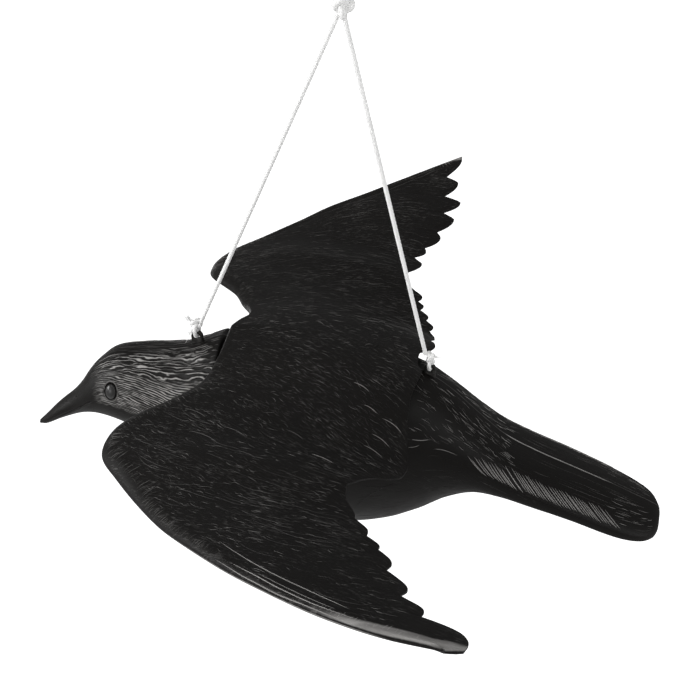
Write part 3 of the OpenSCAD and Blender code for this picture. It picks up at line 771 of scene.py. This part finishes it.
TIPS_R = [(0, 166), (9, 166.4), (14, 170.3), (19, 174.5), (26, 176.5), (37, 175), (45, 171.5), (62, 173.5), (85, 172), (93, 167), (98, 170), (103, 163), (107, 165), (111, 157), (116, 160), (119, 154), (123, 158), (130, 148),
          (138, 145), (145, 142), (168, 153), (176, 145), (185, 155), (189, 153), (203, 166), (209, 162), (226, 176), (232, 165), (249, 180), (253, 164), (270, 176), (276, 164),
          (300, 177), (301, 176)]
TRAIL_L, TRAIL_R = Edge(TIPS_L), Edge(TIPS_R)
TRAIL = Curve([(0, 171), (60, 170), (86, 170), (110, 163), (130, 150), (145, 142), (160, 144), (180, 153), (204, 165), (226, 175), (249, 183), (270, 190), (300, 200), (310, 207)])
ARCH = Curve([(0, 8), (60, 12), (110, 12), (160, 9), (220, 5), (280, 2), (310, 1)])
ROUND = Curve([(0, 4), (50, 4.5), (90, 6), (130, 7), (180, 6.5), (230, 5), (280, 3.4), (310, 2)])


def lead(y):
    return np.where(y < 0, LEAD_L(np.abs(y)), LEAD_R(np.abs(y)))


def trail(y):
    return np.where(y < 0, TRAIL_L(np.abs(y)), TRAIL_R(np.abs(y)))


def wing_mid(x, y):
    a = np.abs(y)
    xl = lead(y)
    s = np.minimum(1.15, (x - xl) / (TRAIL(a) - xl))
    zl, zt = LEAD_Z(a), TRAIL_Z(a)
    return zl + (zt - zl) * s + ARCH(a) * 4 * s * np.maximum(0, 1 - s)


def front_round(y):
    """How far back the rounding of the front edge reaches: little over the neck, more along the wings."""
    a = np.abs(y)
    return ROUND(a) * (0.6 + 1.6 * ss(34, 66, a))


def wing_half(x, y):
    xl, xt, r = lead(y), trail(y), ROUND(np.abs(y))
    d, c, q = np.maximum(0, x - xl), xt - xl, front_round(y)
    return np.where(d < q, np.maximum(0.12, r * np.sqrt(np.maximum(0, 1 - (1 - d / q) ** 2))), r + (1.5 - r) * np.minimum(1, (d - q) / np.maximum(c - q, 1))) * (1 - 0.6 * ss(0.0, 1.0, 1 - (c - d) / 7.0) * ss(12.0, 30.0, c))


def wing_hollow(x, y, wall):
    xl, xt = lead(y), trail(y)
    d, c = x - xl, xt - xl
    return np.maximum(0, np.minimum(np.minimum(wing_half(x, y) - wall, 0.8 * (d - 1.6)), 0.6 * (c - d - 4)))


# the line between two feathers runs in from each notch of the trailing edge
NOTCH = [(-1, 145, 137), (-1, 172, 146), (-1, 192, 156), (-1, 207, 164), (-1, 232, 172), (-1, 257, 182), (-1, 278, 194)] + [
    (1, a, x) for a, x in ((93, 167), (103, 163), (111, 157), (119, 154), (130, 148), (145, 142), (176, 145), (189, 153), (209, 162), (232, 165), (253, 164), (276, 164))]


def flow_angle(x, y):
    """Direction in which the plumage lies, outwards from the tail, in radians."""
    a = np.abs(y)
    s = np.clip((x - lead(y)) / np.maximum(trail(y) - lead(y), 1), 0, 1)
    inner = 0.42 * ss(4, 55, a)
    outer = 0.60 * (1 - 1.15 * s)
    return inner + (outer - inner) * ss(118, 160, a)


def wing_relief(x, y):
    a = np.abs(y)
    k = np.where(y < 0, 0, 50)
    xl, xt = lead(y), trail(y)
    d, c = x - xl, xt - xl
    slope = np.where(y < 0, LEAD_L(a + 1) - LEAD_L(a - 1), LEAD_R(a + 1) - LEAD_R(a - 1)) / 2
    rho = d / np.sqrt(1 + slope ** 2)
    edge = ss(1.0, 5.0, d) * ss(0.5, 4.0, xt - x)
    h = 0.30 * (noise(x / 24 + 3.7 * k, a / 19, 3) - 0.5) + 0.16 * (noise(x / 9 + 1.3 * k, a / 7, 4) - 0.5)
    # a smooth roll along the leading edge of each wing, with a shallow step behind it
    h = h * ss(7, 12, rho) * edge
    h = h - 0.45 * np.exp(-((rho - 10.5) / 2.6) ** 2) * ss(95, 125, a) * (1 - ss(285, 300, a)) * ss(25, 40, c)
    # feathers: each lies over the next
    for side, an, xn in NOTCH:
        m = (y < 0) if side < 0 else (y >= 0)
        back = xn - x
        line = an - back * 0.10 * ss(130, 200, an) - back * back * 0.0011
        off = a - line
        reach = 44.0 if an > 160 else 26.0
        on = m * ss(-1.0, 3.0, back) * (1 - ss(0.35 * reach, reach, back))
        h = h - on * (0.75 * np.exp(-(off / 1.5) ** 2) - 0.35 * np.exp(-((off - 3.5) / 2.6) ** 2))
    return h


def wing_top(x, y):
    return wing_mid(x, y) + wing_half(x, y) + wing_relief(x, y)


def top_at(x, y):
    e = 0.6
    z = wing_top(x, y)
    gx = (wing_top(x + e, y) - wing_top(x - e, y)) / (2 * e)
    gy = (wing_top(x, y + e) - wing_top(x, y - e)) / (2 * e)
    return np.stack([x, y, z], -1), unit(np.stack([-gx, -gy, np.ones_like(gx)], -1))


def span(lo, hi, step, extra):
    y = np.concatenate([np.arange(lo, hi, step), [hi], extra])
    y = np.unique(np.round(y[(y >= lo) & (y <= hi)], 3))
    keep = [y[0]]
    for v in y[1:]:
        if v - keep[-1] > 0.35:
            keep.append(v)
    keep[-1] = hi
    return np.array(keep)


def chord(y, nose, rest):
    """x at even steps of the nose's arc, then evenly to the trailing edge."""
    xl, xt = lead(y)[:, None], trail(y)[:, None]
    c = xt - xl
    q = np.minimum(front_round(y)[:, None], 0.45 * c)
    g = np.linspace(0, 1, nose)[None, :]
    d = np.concatenate([q * (1 - np.cos(g * np.pi / 2)), q + (c - q) * np.linspace(0, 1, rest)[None, 1:]], 1)
    return xl + d, np.broadcast_to(y[:, None], d.shape)


NOTCH_Y = [s * a for s, a, _ in NOTCH] + [-a for a, _ in TIPS_L if a > 80] + [a for a, _ in TIPS_R if a > 80]


def sheet(sh, Y, X, Yg, upper, lower, flip, tone, cells):
    """A closed skin between two height fields over one outline; the lower one has fewer columns."""
    nu, nv = X.shape
    cols = np.unique(np.concatenate([np.linspace(0, nv - 1, cells).round().astype(int), [0, nv - 1]]))
    P = np.stack([X, Yg, upper], -1)
    Xq, Yq = X[:, cols], Yg[:, cols]
    Q = np.stack([Xq, Yq, lower[:, cols]], -1)
    nq = len(cols)
    base = nu * nv
    up = quads(nu, nv, not flip)
    dn = quads(nu, nq, flip) + base
    i = np.arange(nu - 1)
    le = np.stack([i * nv, (i + 1) * nv, base + (i + 1) * nq, base + i * nq], 1)
    te = np.stack([(i + 1) * nv + nv - 1, i * nv + nv - 1, base + i * nq + nq - 1, base + (i + 1) * nq + nq - 1], 1)
    e0 = np.concatenate([np.arange(nv), base + np.arange(nq)[::-1]])[None, :]
    e1 = np.concatenate([(nu - 1) * nv + np.arange(nv)[::-1], base + (nu - 1) * nq + np.arange(nq)])[None, :]
    fs = [le, te, e0, e1]
    if flip:
        fs = [f[:, ::-1] for f in fs]
    V = np.concatenate([P.reshape(-1, 3), Q.reshape(-1, 3)])
    fl = lambda x, y: np.stack([x * 0.93 + np.abs(y) * 0.37, np.abs(y) * 0.93 - x * 0.37, np.where(y < 0, 5.0, 90.0)], -1).reshape(-1, 3)
    sh.add(V, [up, dn] + fs, np.concatenate([tone.ravel(), np.zeros(nu * nq)]), np.concatenate([fl(X, Yg), fl(Xq, Yq)]))


def lathe(sh, x, y, profile, m=32):
    """A turned peg: (radius, z) from its top to its end."""
    c = np.linspace(0, 2 * np.pi, m, endpoint=False)
    V = np.array([np.stack([x + r * np.cos(c), y + r * np.sin(c), np.full(m, z)], 1) for r, z in profile])
    k = len(profile)
    sh.add(V, [quads(k, m, True, True), np.arange(m)[None, :], (np.arange(m)[::-1] + (k - 1) * m)[None, :]], 0.0)


def saddle():
    sh = Shell()
    Y = span(-310.0, 301.0, 2.6, NOTCH_Y + list(np.arange(-308, -84, 1.6)) + list(np.arange(84, 300, 1.6)))
    X, Yg = chord(Y, 13, 54)
    up = wing_top(X, Yg)
    lo = wing_mid(X, Yg) + wing_hollow(X, Yg, 1.8)
    lo[:, 0] = wing_mid(X, Yg)[:, 0] + 0.02
    h = wing_relief(X, Yg)
    a = np.abs(Yg)
    g = np.where(Yg < 0, LEAD_L(a + 1) - LEAD_L(a - 1), LEAD_R(a + 1) - LEAD_R(a - 1)) / 2
    rho = (X - lead(Yg)) / np.sqrt(1 + g * g)
    # painted highlight: a lighter band behind the leading edge, strongest towards the wing tips
    painted_edge_highlight = (0.04 + 0.42 * ss(228, 298, a) + 0.5 * ss(284, 304, a)) * ss(112, 150, a) * ss(0.08, 0.9 - 0.55 * ss(220, 250, a), rho) * (1 - ss(2.2 + 5.0 * ss(294, 305, a), 5.5 + 8.0 * ss(294, 305, a), rho)) * (0.45 + 0.55 * noise(a / 2.6, rho / 6, 71))
    painted_edge_highlight = painted_edge_highlight * (1 - 0.75 * ss(230, 244, a) * (1 - ss(286, 296, a)))
    sheet(sh, Y, X, Yg, up, lo, False, painted_edge_highlight, 12)
    rng = np.random.default_rng(5)

    def inside(x, y, front, rear):
        return (x - lead(y) > front) & (trail(y) - x > rear)

    def strokes(x, y, ang, ln, bow, w, hh, tone, K):
        """Short raised strokes through (x, y)."""
        t = (np.linspace(0, 1, K) - 0.5)[None, :]
        sgn = np.where(y < 0, -1.0, 1.0)[:, None]
        th = ang[:, None] + bow[:, None] * t
        px = x[:, None] + ln[:, None] * t * np.cos(th)
        py = y[:, None] + sgn * ln[:, None] * t * np.sin(th)
        ok = np.all(inside(px, py, 7.0, 2.0) & (np.abs(py) < 296), axis=1) & np.all(np.sign(py) == np.sign(py[:, :1]), axis=1)
        P, N = top_at(px[ok], py[ok])
        ridges(sh, P, N, np.broadcast_to(w, x.shape)[ok], np.broadcast_to(hh, x.shape)[ok], np.broadcast_to(tone, x.shape)[ok])

    # short strokes in patches all over the back and the wings, painted lighter as painted glints, less on the far wing
    # as painted shade
    n = 26000
    x, y = rng.uniform(-25, 185, n), rng.uniform(-300, 300, n)
    patch = noise(x / 22 + 9, y / 18, 17)
    outer = ss(150, 240, np.abs(y))
    ok = inside(x, y, 8, 3) & (patch + 0.12 > 0.25 * outer + 0.75 * rng.random(n))
    x, y = x[ok][:4400], y[ok][:4400]
    far = ss(20, 70, y)
    ang = flow_angle(x, y) + rng.normal(0, 0.27, len(x)) * (1 - 0.5 * far) - 0.06
    bright = rng.random(len(x)) ** 3
    strokes(x, y, ang, (2.5 + 6.0 * rng.random(len(x)) ** 1.5) * (1 + 0.7 * far), rng.normal(0, 0.5, len(x)), rng.uniform(0.4, 0.65, len(x)), 0.07 + 0.13 * bright, (0.10 + 0.38 * bright) * (1 - 0.4 * far), 4)
    # longer lines that fan back from the bend of the wing, painted a little lighter as painted glints
    n = 260
    x, y = rng.uniform(0, 170, n), rng.uniform(105, 285, n) * rng.choice([-1, 1], n)
    ok = inside(x, y, 10, 8)
    x, y = x[ok], y[ok]
    strokes(x, y, flow_angle(x, y), rng.uniform(12, 40, len(x)), -rng.uniform(0.1, 0.6, len(x)), 0.6, rng.uniform(0.06, 0.16, len(x)), rng.uniform(0.06, 0.28, len(x)), 12)
    # a few bold ones near the rump and the shoulder, with a painted glint brighter on the left wing than on the right,
    # as painted shade
    bx = np.array([156, 150, 146, 140, 132, 42, 60, 74, 30, 96, 118])
    by = np.array([65, 78, 88, 60, 46, 122, 112, 138, 98, 100, 120])
    bl = np.array([15, 14, 14, 10, 12, 24, 18, 16, 18, 14, 16])
    for sgn in (-1.0, 1.0):
        strokes(bx.astype(float), sgn * by, np.where(bx > 100, 0.30, 0.42), bl.astype(float), np.full(len(bx), 0.35), np.where(bx > 100, 0.85, 0.6), np.where(bx > 100, 0.34, 0.2), np.where(bx > 100, 0.72, 0.35) * (1.0 if sgn < 0 else 0.35), 9)

    # hair-like barbs behind the smooth roll of the leading edge, painted lighter towards the tips as a painted
    # highlight
    for sgn in (-1.0, 1.0):
        curve = LEAD_L if sgn < 0 else LEAD_R
        for a0, a1, step, r0, r1, hh in ((186, 307, 0.9, 1.0, 6.4, 0.16), (120, 186, 1.5, 4.0, 13.0, 0.30), (66, 120, 1.9, 7.0, 12.0, 0.22)):
            a = np.arange(a0, a1, step)
            a = a + rng.normal(0, 0.25, len(a))
            g = (curve(a + 1) - curve(a - 1)) / 2
            nx, ny = 1 / np.sqrt(1 + g * g), -g / np.sqrt(1 + g * g)
            t = np.linspace(0, 1, 5)[None, :]
            start = r0 + rng.normal(0, 0.4, len(a))
            rr = start[:, None] + (rng.uniform(0.55, 1.15, len(a)) * (r1 - r0))[:, None] * t
            lean = rng.normal(0.12, 0.12, len(a))[:, None]
            px = curve(a)[:, None] + nx[:, None] * rr + lean * (rr - rr[:, :1]) * -ny[:, None]
            py = a[:, None] + ny[:, None] * rr + lean * (rr - rr[:, :1]) * nx[:, None]
            ok = np.all((trail(sgn * py) - px > 6), axis=1)
            P, N = top_at(px[ok], sgn * py[ok])
            ridges(sh, P, N, rng.uniform(0.8, 1.15, len(a))[ok], hh * rng.uniform(0.4, 1.1, len(a))[ok], ((rng.uniform(0.06, 0.32, len(a)) + 0.45 * ss(222, 296, a) + 0.2 * ss(286, 304, a)) * (1 - 0.85 * ss(230, 244, a) * (1 - ss(284, 292, a))))[ok])
        # fine lines along the edge of the hand, with a painted highlight that is dimmer on the right wing, as painted
        # shade
        for r, a0, a1, w, lit in ((0.8, 244.0, 298.0, 1.1, 0.85), (3.2, 250.0, 298.0, 1.2, 0.85), (5.6, 262.0, 292.0, 1.0, 0.6)):
            a = np.linspace(a0, a1, 44)
            g = (curve(a + 1) - curve(a - 1)) / 2
            rr = r + 0.9 * (noise(a / 13, 3.7 * r, 75) - 0.5)
            P, N = top_at((curve(a) + rr / np.sqrt(1 + g * g))[None, :], (sgn * (a - rr * g / np.sqrt(1 + g * g)))[None, :])
            ridges(sh, P, N, w, 0.2, lit if sgn < 0 else 0.3 * lit)
        # the shaft of the first long feather, painted lighter as a painted highlight, much less on the right wing
        t = np.linspace(0, 1, 40)
        px = 82 + (161 - 82) * t
        py = sgn * (229.6 + (285.0 - 229.6) * t + 3.0 * 4 * t * (1 - t) * 0.6)
        P, N = top_at(px[None, :], py[None, :])
        ridges(sh, P, N, 0.85, 0.36, 0.7 if sgn < 0 else 0.2)

    # two pegs that push into the back of the body
    for x in (60.0, 130.0):
        b = float(max(B_TOP(x - 7), B_TOP(x), B_TOP(x + 7))) + 0.4
        z = float(wing_mid(np.array([x]), np.array([0.0]))[0] + wing_hollow(np.array([x]), np.array([0.0]), 1.8)[0])
        lathe(sh, x, 0.0, [(7.0, z + 0.6), (7.0, b + 0.5), (6.5, b), (4.6, b), (4.0, b - 0.6), (4.0, b - 7.8), (3.0, b - 9.0)])
    return sh.piece("wing_cover", "saddle", ["wing_saddle"], WING_MAT, "wing_plastic")


saddle()


def underside(side, name, node):
    sh = Shell()
    end = 310.0 if side < 0 else 301.0
    A = span(60.0, end, 1.5, [abs(v) for v in NOTCH_Y if v * side > 0])
    Y = side * A
    X, Yg = chord(Y, 11, 70)
    rel = wing_relief(X, Yg) * 0.8
    s = (X - lead(Yg)) / np.maximum(trail(Yg) - lead(Yg), 1)
    vane = 0.35 * np.cos(2 * np.pi * (np.abs(Yg) + 30 * s) / 13.0) * ss(0.25, 0.5, s) * ss(1, 6, trail(Yg) - X)
    lo = wing_mid(X, Yg) - wing_half(X, Yg) - rel * ss(2, 8, X - lead(Yg)) + vane * ss(2, 8, X - lead(Yg)) * 0.8
    hi = wing_mid(X, Yg) - wing_hollow(X, Yg, 1.4) - 0.02
    # lines along the roll of the leading edge, towards the tip, painted lighter as a painted highlight, less on the
    # right wing as painted shade
    a = np.abs(Yg)
    edge = np.zeros(X.shape[1])
    edge[[0, 1, 2, 5, 6, 7]] = 0.2, 0.9, 0.9, 0.9, 1.0, 0.6
    edge = edge[None, :] * ss(206, 252, a) * (1 - ss(300, 306, a)) * (0.55 + 0.45 * noise(a / 7, X * 0 + 2.5, 77))
    lo = lo - 0.12 * edge
    sheet(sh, Y, X, Yg, lo, np.maximum(hi, lo + 0.3), side < 0, edge * (0.85 if side < 0 else 0.35), 10)
    return sh.piece(name, "saddle", [node], WING_MAT, "wing_plastic")


underside(-1, "left_under", "left_wing_underside")
underside(1, "right_under", "right_wing_underside")

# ---------------------------------------------------------------- stage and light
# a pale floor that turns up into walls and a ceiling, so that it lies behind the part in every view
t = np.linspace(0, np.pi / 2, 9)
PROFILE = [(0.02, -2.8), (6.0, -2.8)] + [(12 + 10 * math.sin(v), 7.2 - 10 * math.cos(v)) for v in t] + [(12 + 10 * math.cos(v), 7.2 + 10 * math.sin(v)) for v in t[1:]] + [(0.02, 17.2)]
c = np.linspace(0, 2 * np.pi, 64, endpoint=False)
floor_mesh = bpy.data.meshes.new("floor")
floor_mesh.from_pydata([(r * math.cos(v), r * math.sin(v), z) for r, z in PROFILE for v in c], [], quads(len(PROFILE), 64, False, True).tolist())
floor = bpy.data.objects.new("floor", floor_mesh)
scene.collection.objects.link(floor)
fm, N, L, bsdf = material("floor")
bsdf.inputs["Base Color"].default_value = (0.8, 0.8, 0.8, 1)
bsdf.inputs["Roughness"].default_value = 0.9
bsdf.inputs["Specular IOR Level"].default_value = 0.0
bsdf.inputs["Emission Color"].default_value = (1, 1, 1, 1)
bsdf.inputs["Emission Strength"].default_value = 1.0
floor_mesh.materials.append(fm)
floor.visible_glossy = floor.visible_diffuse = floor.visible_shadow = False

world = bpy.data.worlds.new("world")
world.use_nodes = True
scene.world = world
wn, wl = world.node_tree.nodes, world.node_tree.links
co = wn.new("ShaderNodeTexCoord")
sep = wn.new("ShaderNodeSeparateXYZ")
wl.new(co.outputs["Generated"], sep.inputs["Vector"])
height = wn.new("ShaderNodeMapRange")
height.inputs["From Min"].default_value = -1.0
height.inputs["From Max"].default_value = 1.0
wl.new(sep.outputs["Z"], height.inputs["Value"])
ramp = wn.new("ShaderNodeValToRGB")
for k, (at, v) in enumerate(((0.10, 0.80), (0.22, 0.40), (0.44, 0.38), (0.50, 0.42), (0.62, 0.36))):
    e = ramp.color_ramp.elements[k] if k < 2 else ramp.color_ramp.elements.new(at)
    e.position, e.color = at, (v, v, v, 1)
wl.new(height.outputs["Result"], ramp.inputs["Fac"])
wl.new(ramp.outputs["Color"], wn["Background"].inputs["Color"])
# dimmer low down behind the part, so that its upper rims stay dark
dim = wn.new("ShaderNodeMath")
dim.operation = "MULTIPLY"
for k, (axis, lo, hi, v0, v1) in enumerate((("Y", 0.3, 0.9, 0.0, 0.48), ("Z", 0.12, 0.38, 1.0, 0.0))):
    part = wn.new("ShaderNodeMapRange")
    part.interpolation_type = "SMOOTHSTEP"
    for key, v in (("From Min", lo), ("From Max", hi), ("To Min", v0), ("To Max", v1)):
        part.inputs[key].default_value = v
    wl.new(sep.outputs[axis], part.inputs["Value"])
    wl.new(part.outputs["Result"], dim.inputs[k])
left = wn.new("ShaderNodeMath")
left.operation = "SUBTRACT"
left.inputs[0].default_value = 1.0
wl.new(dim.outputs[0], left.inputs[1])
wl.new(left.outputs[0], wn["Background"].inputs["Strength"])


def softbox(name, direction, dist, w, h, radiance):
    d = Vector(direction).normalized()
    data = bpy.data.lights.new(name, "AREA")
    data.shape = "RECTANGLE"
    data.size, data.size_y = w, h
    data.energy = radiance * math.pi * w * h
    ob = bpy.data.objects.new(name, data)
    ob.location = Vector((0.0, 0.0, -0.30)) + d * dist
    ob.rotation_euler = d.to_track_quat("Z", "Y").to_euler()
    ob.visible_camera = False
    scene.collection.objects.link(ob)


softbox("cheek_light", (-0.50, -0.86, -0.02), 1.7, 0.8, 0.55, 2.6)
softbox("front_light", (-0.89, -0.34, 0.25), 1.8, 1.0, 0.6, 12.0)
softbox("tail_light", (0.62, -0.56, 0.55), 1.8, 0.8, 0.8, 2.2)
softbox("side_light", (0.92, -0.38, 0.06), 1.7, 0.8, 0.8, 3.0)
softbox("far_light", (-0.50, 0.83, -0.25), 1.7, 0.8, 0.55, 2.2)
softbox("top_light", (-0.15, -0.12, 0.97), 1.7, 1.0, 1.0, 1.6)

bpy.context.view_layer.update()
